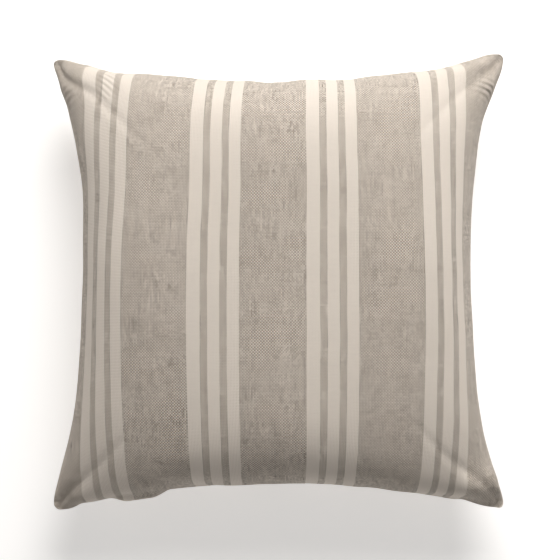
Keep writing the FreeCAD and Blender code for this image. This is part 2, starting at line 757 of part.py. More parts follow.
# ---------------------------------------------------------------- the insert and the labels


def make_insert():
    """A two-panel sewn bag, its filling, and the row that closes it after stuffing."""
    lip = seam_line("insert_raw_edge", *INSERT_RAW_EDGE)
    shell_inset = "(dims.insert_inset + dims.insert_cloth)"
    ears = {"ear": "dims.insert_ear", "ear_fold": "dims.insert_ear_fold"}
    halves = {}
    for side in (FRONT, BACK):
        word = SIDE_NAME[side]
        edge = "dims.insert_edge"
        outside = half_form(f"insert_{word}_outside", side, "dims.insert_inset", edge, **ears)
        inside = half_form(
            f"insert_{word}_inside", side, shell_inset, edge, start="dims.insert_cloth", **ears
        )
        halves[side] = outside, inside
    doc.recompute()
    pieces = {}
    for side, (outside, inside) in halves.items():
        word = SIDE_NAME[side]
        name = f"insert_{word}_sewn"
        pieces[f"insert_shell_{word}"] = thin_shell(
            name, side, outside, inside, lip, "dims.insert_cloth"
        )
    thread = "dims.insert_thread"
    pieces["insert_seam_thread"] = two_rows(
        "insert_lockstitch", INSERT_THREAD_OUTER, INSERT_THREAD_INNER, "dims.insert_cloth", thread
    )
    filling_inset = f"({shell_inset} + dims.filling_gap)"
    drawn_in = {
        "edge": "(dims.insert_edge + dims.filling_edge)",
        "ear": "(dims.insert_ear + dims.filling_edge)",
        "ear_fold": "dims.insert_ear_fold",
    }
    filling_halves = [
        half_form(f"filling_{SIDE_NAME[side]}", side, filling_inset, **drawn_in) for side in (FRONT, BACK)
    ]
    pieces["insert_filling"] = fuse("filling_whole", filling_halves)
    outer_gap, inner_gap = f"(dims.closing_gap + {thread})", "dims.closing_gap"
    closing_ring = seam_ring(
        "closing_ring",
        (f"({INSERT_WAIST} - {outer_gap})", f"({INSERT_TIP} - {outer_gap})", "5"),
        (f"({INSERT_WAIST} - {inner_gap})", f"({INSERT_TIP} - {inner_gap})", "5"),
        f"-{thread} / 2",
        thread,
    )
    window = doc.addObject("Part::Box", "closing_window")
    window.setExpression("Length", "dims.closing_length")
    window.setExpression("Width", "dims.waist_y / 2")
    window.setExpression("Height", f"2 * {thread}")
    window.setExpression("Placement.Base.x", "-dims.closing_length / 2")
    window.setExpression("Placement.Base.z", f"-{thread}")
    pieces["insert_closing_stitch"] = common("closing_row", closing_ring, window)
    return pieces


def label_window(name, wide, along, seam_x, into):
    """A block that picks one label out of the layer between the cover and the insert."""
    block = doc.addObject("Part::Box", name)
    block.setExpression("Length", into)
    block.setExpression("Width", wide)
    block.setExpression("Height", "dims.rest_depth")
    block.setExpression("Placement.Base.x", seam_x)
    block.setExpression("Placement.Base.y", f"{along} - {wide} / 2")
    block.setExpression("Placement.Base.z", "-dims.rest_depth - 2")
    return block


def make_labels():
    """A blank care label at the left seam and a blank tag at the right, both under the back panel."""
    layer_in = "(dims.label_inset + dims.label_cloth)"
    outer = half_form("label_outside", BACK, "dims.label_inset", ear_fold="dims.insert_ear_fold")
    inner = half_form("label_inside", BACK, layer_in, ear_fold="dims.insert_ear_fold")
    left = "(-dims.waist_x / 2)"
    care = label_window(
        "care_label_window", "dims.care_label_wide", "dims.care_label_y", left, "dims.care_label_long"
    )
    right = "(dims.waist_x / 2 - dims.insert_tag_long)"
    tag = label_window(
        "insert_tag_window", "dims.insert_tag_wide", "dims.insert_tag_y", right, "dims.insert_tag_long"
    )
    pieces = {}
    for label, window in (("care_label", care), ("insert_tag", tag)):
        covered = common(f"{label}_outside", outer, window)
        hollow = common(f"{label}_inside", inner, window)
        pieces[label] = cut(f"{label}_patch", covered, hollow)
    return pieces


# ---------------------------------------------------------------- checks and files


def finish(pieces):
    """Lifts every sub-part onto the supporting surface, checks it and writes it."""
    for label, piece in pieces.items():
        piece.Label = label
        piece.setExpression("Placement.Base.z", "dims.rest_depth")
    doc.recompute()
    for item in doc.Objects:
        if "Invalid" in item.State or "Error" in item.State:
            raise RuntimeError(f"{item.Name} failed: {item.State}")
    os.makedirs("parts", exist_ok=True)
    for label, piece in sorted(pieces.items()):
        shape = piece.Shape
        if shape.isNull() or not shape.isValid():
            raise RuntimeError(f"{label} is null or not valid")
        shape.exportStep(os.path.join("parts", f"{label}.step"))
        box = shape.optimalBoundingBox()
        print(
            f"{label}: {len(shape.Solids)} solid(s), {shape.Volume:.1f} mm3, "
            f"x {box.XMin:.1f}..{box.XMax:.1f}, y {box.YMin:.1f}..{box.YMax:.1f}, "
            f"z {box.ZMin:.1f}..{box.ZMax:.1f}"
        )


all_pieces = {**make_cover(), **make_zipper(), **make_insert(), **make_labels()}
finish(all_pieces)
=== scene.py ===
"""A square striped throw pillow, with a concealed zip in its bottom seam and a stuffed insert."""

import json
import math

import bmesh
import bpy
import mathutils
import numpy as np
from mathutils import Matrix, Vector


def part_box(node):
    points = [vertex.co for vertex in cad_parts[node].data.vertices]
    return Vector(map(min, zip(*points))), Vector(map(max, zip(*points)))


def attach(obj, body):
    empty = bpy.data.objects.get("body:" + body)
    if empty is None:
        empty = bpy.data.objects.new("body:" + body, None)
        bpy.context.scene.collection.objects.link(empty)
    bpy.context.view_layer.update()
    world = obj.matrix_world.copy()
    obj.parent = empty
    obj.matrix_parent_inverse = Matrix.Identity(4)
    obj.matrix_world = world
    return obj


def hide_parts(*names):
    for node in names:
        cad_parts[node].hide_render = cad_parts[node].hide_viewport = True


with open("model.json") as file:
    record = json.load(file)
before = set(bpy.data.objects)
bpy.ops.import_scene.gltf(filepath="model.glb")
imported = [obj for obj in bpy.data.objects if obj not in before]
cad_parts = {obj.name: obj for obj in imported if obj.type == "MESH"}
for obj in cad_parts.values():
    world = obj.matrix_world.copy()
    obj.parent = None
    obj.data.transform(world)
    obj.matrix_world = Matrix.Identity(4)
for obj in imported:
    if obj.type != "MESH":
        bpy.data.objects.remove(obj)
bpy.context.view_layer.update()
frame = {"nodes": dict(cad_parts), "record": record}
MM = 0.001

# The seam plane is where the slider runs, and the crown and the resting face are the CAD box's ends.
SEAM_Z = sum(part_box("zipper_slider_body")[i][2] for i in (0, 1)) / 2
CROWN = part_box("cover_front_panel")[1][2] - SEAM_Z
REST = SEAM_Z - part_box("cover_back_panel")[0][2]

# The zip follows an arc about the axis that the slider turns on.
ZIP_CENTRE = next(j for j in frame["record"]["behaviour"]["joints"] if j["name"] == "slider_travel")["pos_m"]
ZIP_END = -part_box("zipper_top_stops")[0][0]
SEAM_WAIST = -0.2155
ZIP_RADIUS = SEAM_WAIST - ZIP_CENTRE[1]

# The cover before it is stuffed.
HALF = 0.254
CORNER_ROUND = 0.015
CLOTH = 0.75 * MM


# ---------------------------------------------------------------- small helpers


def ramp(low, high, x):
    """0 below low, 1 above high, smooth between."""
    t = np.clip((x - low) / (high - low), 0, 1)
    return t * t * (3 - 2 * t)


def hump(x, middle, width):
    return np.exp(-(((x - middle) / width) ** 2))


def unit(v):
    return v / np.maximum(np.linalg.norm(v, axis=-1, keepdims=True), 1e-12)


def zip_arc(x):
    """The Y of the bottom seam's arc."""
    return ZIP_CENTRE[1] + np.sqrt(ZIP_RADIUS**2 - np.clip(x, -0.3, 0.3) ** 2)


def make_piece(name, verts, faces, material, nodes=(), body="cover", smooth=True, sharp=None):
    """A mesh piece with its material, riding on a body and standing for its CAD nodes."""
    name = f"{name}_visual"
    mesh = bpy.data.meshes.new(name)
    mesh.from_pydata(np.asarray(verts, float).tolist(), [], [tuple(int(i) for i in f) for f in faces])
    mesh.update()
    mesh.polygons.foreach_set("use_smooth", [smooth] * len(mesh.polygons))
    if sharp is not None:
        mesh.set_sharp_from_angle(angle=math.radians(sharp))
    piece = bpy.data.objects.new(name, mesh)
    bpy.context.scene.collection.objects.link(piece)
    mesh.materials.append(material)
    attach(piece, body)
    if nodes:
        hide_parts(*nodes)
    return piece


def add_vector(piece, name, values):
    """A named vector on each point of a piece, for its material to read."""
    layer = piece.data.attributes.new(name, "FLOAT_VECTOR", "POINT")
    layer.data.foreach_set("vector", np.asarray(values, float).ravel())


def grid_faces(index, flip):
    """Quads over a 2D array of vertex numbers."""
    a, b, c, d = index[:-1, :-1], index[1:, :-1], index[1:, 1:], index[:-1, 1:]
    quads = np.stack([a, b, c, d] if not flip else [a, d, c, b], -1)
    return quads.reshape(-1, 4)


def ring_faces(first, second, flip):
    """Quads between two closed rings of vertex numbers."""
    a, b = first, np.roll(first, -1)
    c, d = np.roll(second, -1), second
    quads = np.stack([a, d, c, b] if not flip else [a, b, c, d], -1)
    return quads


def around(grid):
    """The border of a grid of values, counter-clockwise from the bottom left corner."""
    return np.concatenate([grid[:-1, 0], grid[-1, :-1], grid[:0:-1, -1], grid[0, :0:-1]])


def tubes(paths, radius, sides=6, closed_ends=True):
    """Vertices and faces of round threads along several paths of points."""
    verts, faces = [], []
    turn = np.linspace(0, 2 * math.pi, sides, endpoint=False)
    for path in paths:
        path = np.asarray(path, float)
        along = unit(np.gradient(path, axis=0))
        side = np.cross(along[0], (0.0, 0.0, 1.0))
        if np.linalg.norm(side) < 1e-3:
            side = np.cross(along[0], (1.0, 0.0, 0.0))
        start = len(verts)
        for k, (point, direction) in enumerate(zip(path, along)):
            side = side - direction * side.dot(direction)
            side = side / np.linalg.norm(side)
            up = np.cross(direction, side)
            for a in turn:
                verts.append(point + radius * (math.cos(a) * side + math.sin(a) * up))
            if k:
                low, high = start + (k - 1) * sides, start + k * sides
                for s in range(sides):
                    t = (s + 1) % sides
                    faces.append((low + s, low + t, high + t, high + s))
        if closed_ends:
            last = start + (len(path) - 1) * sides
            faces.append(tuple(range(start + sides - 1, start - 1, -1)))
            faces.append(tuple(range(last, last + sides)))
    return np.array(verts), faces


# ---------------------------------------------------------------- the stuffed cover


def rounded(x, y, half=HALF, corner=CORNER_ROUND):
    """Moves the corners of nested squares in to small arcs, as the seam line is cut."""
    far = np.maximum(np.abs(x), np.abs(y)) / half
    straight = (half - corner) * far
    over_x, over_y = np.maximum(np.abs(x) - straight, 0), np.maximum(np.abs(y) - straight, 0)
    keep = np.minimum(1, corner * far / np.maximum(np.hypot(over_x, over_y), 1e-9))
    new_x = np.sign(x) * (np.minimum(np.abs(x), straight) + over_x * keep)
    new_y = np.sign(y) * (np.minimum(np.abs(y), straight) + over_y * keep)
    return new_x, new_y


def inflate(cells=72, frames=14):
    """Two flat panels, joined at their edges and blown up by Cloth, as grids, and the flat grid."""
    t = np.linspace(-HALF, HALF, cells + 1)
    grid_x, grid_y = np.meshgrid(t, t, indexing="ij")
    flat = np.stack(rounded(grid_x, grid_y), -1)
    swell = (1 - (grid_x / HALF) ** 2) * (1 - (grid_y / HALF) ** 2)
    n = cells + 1
    front = np.arange(n * n).reshape(n, n)
    back = front.copy()
    inside = np.zeros((n, n), bool)
    inside[1:-1, 1:-1] = True
    back[inside] = n * n + np.arange(inside.sum())
    upper = np.dstack([flat, 0.01 * swell])
    lower = np.dstack([flat, -0.01 * swell])
    points = np.concatenate([upper.reshape(-1, 3), lower[inside]])
    mesh = bpy.data.meshes.new("blank")
    quads = np.concatenate([grid_faces(front, False), grid_faces(back, True)])
    mesh.from_pydata(points.tolist(), [], quads.tolist())
    blank = bpy.data.objects.new("blank", mesh)
    scene = bpy.context.scene
    scene.collection.objects.link(blank)
    cloth = blank.modifiers.new("cloth", "CLOTH")
    settings = cloth.settings
    settings.quality = 6
    settings.mass = 0.1
    settings.air_damping = 2
    settings.tension_stiffness = 60
    settings.compression_stiffness = 8
    settings.shear_stiffness = 8
    settings.bending_stiffness = 0.4
    settings.tension_damping = settings.compression_damping = settings.shear_damping = 5
    settings.bending_damping = 0.5
    settings.use_pressure = True
    settings.uniform_pressure_force = 6
    settings.effector_weights.gravity = 0
    cloth.collision_settings.use_collision = False
    cloth.point_cache.frame_start = 1
    cloth.point_cache.frame_end = frames
    for step in range(1, frames + 1):
        scene.frame_set(step)
    result = blank.evaluated_get(bpy.context.evaluated_depsgraph_get()).data
    stuffed = np.empty(len(result.vertices) * 3)
    result.vertices.foreach_get("co", stuffed)
    stuffed = stuffed.reshape(-1, 3)
    bpy.data.objects.remove(blank)
    scene.frame_set(1)
    return stuffed[front], stuffed[back], flat


def side_fit(along, outward, reach):
    """A smooth line through one side of the blown-up seam."""
    keep = np.abs(along) < reach
    return np.polynomial.Polynomial.fit(along[keep], outward[keep], 6)


# The seam's four sides, in metres: each one bows in between the tips, with a few swells and dips of its own.
CORNER_REACH = 0.238


def left_seam(y):
    bow = 0.211 + 0.029 * np.abs(y / CORNER_REACH) ** 2.2
    waves = 0.0075 * hump(y, 0.095, 0.035) - 0.003 * hump(y, -0.2, 0.03) + 0.003 * hump(y, 0.195, 0.02)
    return waves - bow


def right_seam(y):
    bow = 0.206 + 0.034 * np.abs(y / CORNER_REACH) ** 2.2
    return bow - 0.004 * hump(y, 0.15, 0.05) + 0.0025 * hump(y, -0.053, 0.02)


def top_seam(x):
    bow = 0.2155 + 0.026 * (x / CORNER_REACH) ** 2
    return bow - 0.004 * hump(x, -0.18, 0.03) + 0.005 * hump(x, 0.23, 0.035) + 0.0015 * hump(x, 0.12, 0.04)


def bottom_seam(x):
    return zip_arc(x) + 0.006 * hump(x, 0.203, 0.022) + 0.0035 * ramp(0.2, 0.24, np.abs(x))


def draw_to_outline(front, back, flat):
    """Moves the blown-up cover smoothly, so that its seam lies where the real one does."""
    reach = 0.228
    seams = {
        "left": side_fit(front[0, :, 1], front[0, :, 0], reach),
        "right": side_fit(front[-1, :, 1], front[-1, :, 0], reach),
        "bottom": side_fit(front[:, 0, 0], front[:, 0, 1], reach),
        "top": side_fit(front[:, -1, 0], front[:, -1, 1], reach),
    }
    moved = []
    for grid in (front, back):
        x, y = np.clip(grid[..., 0], -reach, reach), np.clip(grid[..., 1], -reach, reach)
        left, right = seams["left"](y), seams["right"](y)
        bottom, top = seams["bottom"](x), seams["top"](x)
        across = np.clip((grid[..., 0] - left) / (right - left), 0, 1)
        upward = np.clip((grid[..., 1] - bottom) / (top - bottom), 0, 1)
        off_left, off_right = left_seam(grid[..., 1]) - left, right_seam(grid[..., 1]) - right
        off_bottom, off_top = bottom_seam(grid[..., 0]) - bottom, top_seam(grid[..., 0]) - top
        shift_x = (1 - across) * off_left + across * off_right
        shift_y = (1 - upward) * off_bottom + upward * off_top
        moved.append(grid + np.dstack([shift_x, shift_y, np.zeros_like(x)]))
    calm_seam(moved[0][0, :, 0] - left_seam(moved[0][0, :, 1]), moved, flat, 0, -1)
    calm_seam(moved[0][-1, :, 0] - right_seam(moved[0][-1, :, 1]), moved, flat, 0, 1)
    calm_seam(moved[0][:, -1, 1] - top_seam(moved[0][:, -1, 0]), moved, flat, 1, 1)
    return moved


def calm_seam(stray, grids, flat, axis, end):
    """Takes out most of one side's departures from its line, and less of them further in."""
    across, along = flat[..., axis], flat[..., 1 - axis]
    near_side = np.clip(1 - (HALF - end * across) / 0.09, 0, 1) ** 2
    share = 0.75 * near_side * (1 - ramp(0.215, 0.245, np.abs(along)))
    field = stray[None, :] if axis == 0 else stray[:, None]
    for grid in grids:
        grid[..., axis] -= share * field


def eased(grid, flat, passes=6):
    """Takes the shortest waves out of a panel, but not close to its edges."""
    start = np.dstack([flat, np.zeros(flat.shape[:2])])
    moved = grid - start
    for _ in range(passes):
        for axis in (0, 1):
            rows = np.moveaxis(moved, axis, 0).copy()
            near = np.moveaxis(HALF - np.abs(flat[..., axis]), axis, 0)
            share = ramp(0.01, 0.075, near)[..., None]
            middle = (rows[:-2] + 2 * rows[1:-1] + rows[2:]) / 4
            rows[1:-1] += share[1:-1] * (middle - rows[1:-1])
            moved = np.moveaxis(rows, 0, axis)
    return start + moved


def straighten(grid, flat):
    """Takes most of the sideways wandering out of a panel's warp threads."""
    height = flat[0, :, 1] / HALF
    share = 0.8 * (1 - ramp(0.9, 1.0, np.abs(height)))
    for thread, across in zip(grid, flat[..., 0]):
        moved = thread[:, 0] - 0.95 * across
        smooth = np.polynomial.Polynomial.fit(height, moved, 6)(height)
        thread[:, 0] += share * (smooth - moved)


def fit_to_zip(front, back, flat):
    """Puts the bottom seam on the zip's arc, in the seam plane, as far as the zip reaches."""
    seam = front[:, 0]
    hold = 1 - ramp(ZIP_END + 0.017, ZIP_END + 0.036, np.abs(seam[:, 0]))
    fix = np.zeros_like(seam)
    fix[:, 1] = hold * (zip_arc(seam[:, 0]) - seam[:, 1])
    fix[:, 2] = -hold * seam[:, 2]
    fall = np.clip(1 - (flat[..., 1] + HALF) / 0.035, 0, 1) ** 2
    for grid in (front, back):
        grid += fix[:, None] * fall[..., None]


def finer(grid):
    """Halves a grid's spacing with cubic midpoints along both of its directions."""
    for axis in (0, 1):
        rows = np.moveaxis(grid, axis, 0)
        padded = np.concatenate([2 * rows[:1] - rows[1:2], rows, 2 * rows[-1:] - rows[-2:-1]])
        middle = (9 * (padded[1:-2] + padded[2:-1]) - padded[:-3] - padded[3:]) / 16
        out = np.empty((2 * len(rows) - 1, *rows.shape[1:]))
        out[::2], out[1::2] = rows, middle
        grid = np.moveaxis(out, 0, axis)
    return grid


# Each corner: its signs in x and y, its twist in degrees, how far its tip is drawn out in x and y,
# the depth of its creases, and their phase. Lengths are in millimetres.
CORNERS = (
    (-1, 1, -24, (-2.5, 1.0), 0.75, 0.4),
    (1, 1, 12, (5.5, 2.0), 0.7, 2.1),
    (-1, -1, 6, (-2.5, -3.5), 0.45, 1.2),
    (1, -1, -14, (5.0, -5.5), 0.5, 3.3),
)


def crease_corner(front, back, flat, sign_x, sign_y, twist, draw, depth, phase):
    """Creases one corner along lines from its tip, twists it about its diagonal and draws it out."""
    away = np.stack([HALF - sign_x * flat[..., 0], HALF - sign_y * flat[..., 1]], -1)
    reach = np.hypot(away[..., 0], away[..., 1])
    bearing = np.arctan2(away[..., 1], away[..., 0])
    waves = np.sin(11 * bearing + phase) + 0.6 * np.sin(19 * bearing + 2.3 * phase)
    off_seam = np.sqrt(np.clip(np.sin(2 * bearing), 0, 1))
    within = ramp(0.014, 0.034, reach) * (1 - ramp(0.04, 0.095, reach)) * off_seam
    crease = depth * MM * waves * within
    near = 1 - ramp(0.012, 0.085, reach)
    cos, sin = (part(math.radians(twist) * near)[..., None] for part in (np.cos, np.sin))
    axis = np.array((sign_x, sign_y, 0)) / math.sqrt(2)
    tip = front[-1 if sign_x > 0 else 0, -1 if sign_y > 0 else 0].copy()
    for side, grid in ((1, front), (-1, back)):
        grid += crease[..., None] * grid_normals(grid, side)
        arm = grid - tip
        along = (arm @ axis)[..., None] * axis
        grid[...] = tip + along + (arm - along) * cos + np.cross(axis, arm) * sin
        grid[..., :2] += near[..., None] * np.array(draw) * MM


FOLD_Y, FOLD_HEIGHT = -0.219, 0.013


def fold_the_tip(front, flat):
    """Raises a sharp fold across the bottom right ear. Below it the cloth turns down into its own shade."""
    past_fold = front[..., 1] - FOLD_Y
    gentle, steep = np.exp(-((past_fold / 0.022) ** 2)), np.clip(1 + past_fold / 0.016, 0, 1)
    from_seam = HALF - np.max(np.abs(flat), -1)
    held = ramp(0.178, 0.205, front[..., 0]) * ramp(0, 0.007, from_seam)
    front[..., 2] += FOLD_HEIGHT * held * np.where(past_fold > 0, gentle, steep)


def cover_the_pull(front):
    """Lets the front panel hang a little over the zip's pull, where the closed slider rests."""
    low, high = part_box("zipper_pull_tab")
    middle, half = (low[0] + high[0]) / 2, (high[0] - low[0]) / 2
    top = high[2] - SEAM_Z
    # Row by row from the seam: how far in from the zip's arc, how firmly held there, and how high, if held.
    lip = (
        (1, 0.8, top + 0.9 * MM), (-4.6, 1, top + 1.6 * MM), (-6, 1, top + 4.4 * MM),
        (-5.4, 0.8, None), (-3.2, 0.6, None),
    )
    for row, (depth, hold, height) in enumerate(lip, start=1):
        line = front[:, row]
        share = hold * (1 - ramp(half, half + 0.022, np.abs(line[:, 0] - middle)))
        line[:, 1] += share * (zip_arc(line[:, 0]) + depth * MM - line[:, 1])
        if height is not None:
            line[:, 2] += share * (height - line[:, 2])


def grid_normals(grid, side):
    """Normals that point out of the pillow."""
    n = np.cross(np.gradient(grid, axis=0), np.gradient(grid, axis=1))
    return unit(n) * side


def stuffed_cover():
    """The outside of the two panels, about the seam plane, with the flat place of each point."""
    front, back, flat = inflate()
    front, back = eased(front, flat), eased(back, flat)
    blown_up = front[..., 2].max()
    front[..., 2] *= CROWN / blown_up
    back[..., 2] *= CROWN / blown_up
    front, back = draw_to_outline(front, back, flat)
    straighten(front, flat)
    straighten(back, flat)
    front, back, flat = finer(front), finer(back), finer(flat)
    for corner in CORNERS:
        crease_corner(front, back, flat, *corner)
    fit_to_zip(front, back, flat)
    fold_the_tip(front, flat)
    cover_the_pull(front)
    # The back panel flattens where it lies on the surface.
    soft = 5 * MM
    depth = -back[..., 2]
    give = soft * np.logaddexp(0, (REST - depth) / soft)
    back[..., 2] = -(REST - give + soft * np.logaddexp(0, -REST / soft))
    lift = -back[..., 2].min()
    back[..., 2] *= REST / lift
    return front, back, flat


FRONT, BACK, FLAT = stuffed_cover()
SEAM_FLAT = around(FLAT)
SEAM = around(FRONT)
TANGENT = unit((np.roll(SEAM, -1, 0) - np.roll(SEAM, 1, 0)) * (1, 1, 0))
INWARD = np.stack([-TANGENT[:, 1], TANGENT[:, 0], np.zeros(len(TANGENT))], -1)
# 1 along the zip, 0 where the seam is sewn shut.
OPEN = (1 - ramp(ZIP_END, ZIP_END + 4 * MM, np.abs(SEAM[:, 0]))) * (SEAM_FLAT[:, 1] < -HALF + MM)
# The allowances are trimmed at the corners.
CORNER_GAP = np.hypot(HALF - np.abs(SEAM_FLAT[:, 0]), HALF - np.abs(SEAM_FLAT[:, 1]))
TRIM = 0.3 + 0.7 * ramp(0.004, 0.04, CORNER_GAP)


def sewn_panel(name, side, grid, flat, thickness, rim, rings, lining_rim, turned, material):
    """A panel of cloth: its outside, the fold at the seam, the allowance turned in, and its inside."""
    size = len(grid)
    inner = grid - grid_normals(grid, side) * thickness
    inner[..., 2] = side * np.maximum(side * inner[..., 2], thickness + 0.25 * MM)
    index = np.arange(size * size).reshape(size, size)
    border = around(index)
    outer = grid.reshape(-1, 3).copy()
    inner = inner.reshape(-1, 3)
    outer[border], inner[border] = rim, lining_rim
    ring_ids, count = [border], size * size
    for ring in rings:
        ring_ids.append(count + np.arange(len(ring)))
        count += len(ring)
    ring_ids.append(count + border)
    faces = [grid_faces(index, side < 0), grid_faces(index + count, side > 0)]
    faces += [ring_faces(a, b, side > 0) for a, b in zip(ring_ids, ring_ids[1:])]
    verts = np.concatenate([outer, *rings, inner]) + (0, 0, SEAM_Z)
    piece = make_piece(name, verts, np.concatenate(faces), material, [name], sharp=50)
    cloth = np.concatenate([flat.reshape(-1, 2), *turned, flat.reshape(-1, 2)]) / MM
    add_vector(piece, "cloth", np.concatenate([cloth, np.zeros((len(cloth), 1))], 1))
    return piece


def cover_panel(side, material):
    """One panel of the cover. Along the zip its allowance turns back onto the tape."""
    name = "cover_front_panel" if side > 0 else "cover_back_panel"
    grid = (FRONT if side > 0 else BACK).copy()
    grid[..., 2] = side * np.maximum(side * grid[..., 2], 1.8 * MM)

    def ring(sewn, zipped):
        """A line along the seam at a depth and height, in millimetres, sewn shut or along the zip."""
        depth = sewn[0] * TRIM * (1 - OPEN) + zipped[0] * OPEN
        height = sewn[1] * (1 - OPEN) + zipped[1] * OPEN
        return SEAM + INWARD * depth[:, None] * MM + side * height[:, None] * MM * np.array((0, 0, 1))

    fold = [
        ((0.5, 0.3), (0.6, 0.95)),
        ((1.6, 0.1), (1.6, 1.7)),
        ((3, 0.05), (2.7, 3.2)),
        ((5, 0.05), (4.6, 4.0)),
        ((7.5, 0.05), (6.6, 4.6)),
        ((10, 0.05), (7.6, 5.6)),
        ((12, 0.05), (8.6, 6.4)),
        ((12, 0.85), (8.2, 7.0)),
        ((10, 0.85), (7.1, 6.3)),
        ((7.5, 0.85), (6.2, 5.4)),
        ((5, 0.85), (4.2, 4.8)),
        ((3, 0.85), (2.1, 3.8)),
    ]
    rings = [ring(*pair) for pair in fold]
    turned = [SEAM_FLAT - INWARD[:, :2] * sewn[0] * MM for sewn, _ in fold]
    rim, lining_rim = ring((0, 0.75), (0, 1.35)), ring((1.3, 1.1), (1.2, 2.3))
    return sewn_panel(
        name, side, grid, FLAT, CLOTH, rim, rings, lining_rim, turned, material
    )


# ---------------------------------------------------------------- sewing


def seam_path(line, inward, depth, height):
    """Points at a depth inside a seam and a height above it, in millimetres, as a closed loop."""
    depth = np.broadcast_to(depth, len(line))
    return line + inward * depth[:, None] * MM + np.array((0, 0, height * MM))


def spaced(path, pitch):
    """Points along a path, about one pitch apart."""
    step = np.linalg.norm(np.diff(path, axis=0), axis=1)
    length = np.concatenate([[0], np.cumsum(step)])
    wanted = np.linspace(0, length[-1], max(2, int(length[-1] / pitch)))
    return np.stack([np.interp(wanted, length, path[:, k]) for k in range(3)], -1)


def dashes(path, pitch, share):
    """Short straight stitches along a path."""
    points = spaced(path, pitch)
    middle, half = (points[1:] + points[:-1]) / 2, (points[1:] - points[:-1]) * share / 2
    return [np.array([m - h, m - h * 0.8, m + h * 0.8, m + h]) for m, h in zip(middle, half)]


def runs_where(path, keep):
    """The open runs of a closed loop of points on which keep is true."""
    if keep.all():
        return [np.concatenate([path, path[:1]])]
    start = int(np.argmin(keep))
    path, keep = np.roll(path, -start, 0), np.roll(keep, -start)
    breaks = np.flatnonzero(np.diff(keep.astype(int))) + 1
    pieces = zip(np.split(path, breaks), np.split(keep, breaks))
    return [run for run, good in pieces if good[0] and len(run) > 3]


def make_seam_sewing(material):
    """The lockstitch that joins the panels, and the overlocking of their raw edges."""
    shut = OPEN < 0.01
    stitches = []
    for height in (1.0, -1.0):
        for run in runs_where(seam_path(SEAM, INWARD, 4.2 * TRIM, height), shut):
            stitches += dashes(run, 3.0 * MM, 0.84)
    verts, faces = tubes(stitches, 0.2 * MM)
    make_piece(
        "cover_seam_thread", verts + (0, 0, SEAM_Z), faces, material, ["cover_seam_thread"]
    )
    loops = []
    for run in runs_where(seam_path(SEAM, INWARD, 12.6 * TRIM, 0), shut):
        edge = spaced(run, 2.4 * MM)
        outward = unit(np.cross(unit(np.gradient(edge, axis=0)), (0, 0, 1.0)))
        zigzag = []
        for k, (point, out) in enumerate(zip(edge, outward)):
            high = 1.15 * MM if k % 2 else -1.15 * MM
            zigzag.append(point + (0, 0, high * 0.5))
            zigzag.append(point + out * 3.6 * MM + (0, 0, high))
            zigzag.append(point + (0, 0, high * 0.6))
        loops.append(np.array(zigzag))
    verts, faces = tubes(loops, 0.16 * MM, sides=5)
    make_piece(
        "cover_overlock_thread", verts + (0, 0, SEAM_Z), faces, material,
        ["cover_overlock_thread"],
    )


# ---------------------------------------------------------------- the zip


ZIP_HALF_ANGLE = math.asin(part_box("zipper_tape_upper")[1][0] / ZIP_RADIUS)
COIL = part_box("zipper_coil_upper")
COIL_Z = (COIL[0][2] + COIL[1][2]) / 2 - SEAM_Z
COIL_HALF = (COIL[1][2] - COIL[0][2]) / 2
COIL_DEPTH = 6.25 * MM


def on_arc(angle, depth, height):
    """Points at angles about the zip's centre, at a depth inside the seam and a height above it."""
    radius = ZIP_RADIUS + depth
    x, y = radius * np.sin(angle), ZIP_CENTRE[1] + radius * np.cos(angle)
    return np.stack([x, y, np.broadcast_to(height, np.shape(x))], -1)


def make_coil(word, sign, material):
    """A helical coil of nylon that stands for one half of the chain."""
    pitch = 1.35 * MM
    turns = int(2 * ZIP_HALF_ANGLE * ZIP_RADIUS / pitch)
    phase = np.linspace(0, 2 * math.pi * turns, turns * 12 + 1) + (math.pi if sign < 0 else 0)
    angle = np.linspace(-ZIP_HALF_ANGLE, ZIP_HALF_ANGLE, len(phase))
    wire = 0.21 * MM
    depth = COIL_DEPTH + (0.95 * MM - wire) * np.sin(phase)
    height = sign * (COIL_Z - (COIL_HALF - wire) * np.cos(phase))
    verts, faces = tubes([on_arc(angle, depth, height)], wire)
    name = f"zipper_coil_{word}"
    make_piece(name, verts + (0, 0, SEAM_Z), faces, material, [name])


def make_tape(word, sign, material):
    """A woven tape with a rounded selvedge, which leans in along the panel behind the chain."""
    section = np.array([
        (7.22, 0.5), (7.22, 2.4), (7.22, 4.35), (8.2, 5.3), (9.25, 6.3), (9.5, 6.45), (9.75, 6.35),
        (8.6, 5.1), (7.68, 4.25), (7.68, 2.4), (7.68, 0.5),
    ]) * MM
    steps = 240
    angle = np.linspace(-ZIP_HALF_ANGLE, ZIP_HALF_ANGLE, steps)
    rows = []
    for depth, height in section:
        wave = 0.06 * MM * np.sin(angle * 900) * (height > 5 * MM)
        rows.append(on_arc(angle, depth + wave, sign * height))
    verts = np.stack(rows, 1)
    count = len(section)
    index = np.arange(steps * count).reshape(steps, count)
    loop = np.concatenate([index, index[:, :1]], 1)
    faces = grid_faces(loop, sign < 0).tolist()
    first, last = index[0].tolist(), index[-1].tolist()
    faces += [first if sign < 0 else first[::-1], last[::-1] if sign < 0 else last]
    name = f"zipper_tape_{word}"
    piece = make_piece(
        name, verts.reshape(-1, 3) + (0, 0, SEAM_Z), faces, material, [name], sharp=40
    )
    across = np.concatenate([[0], np.cumsum(np.linalg.norm(np.diff(section, axis=0), axis=1))]) / MM
    along = angle * ZIP_RADIUS / MM
    flat = np.dstack([np.repeat(along[:, None], count, 1), np.repeat(across[None], steps, 0)])
    add_vector(piece, "cloth", np.concatenate([flat.reshape(-1, 2), np.zeros((steps * count, 1))], 1))


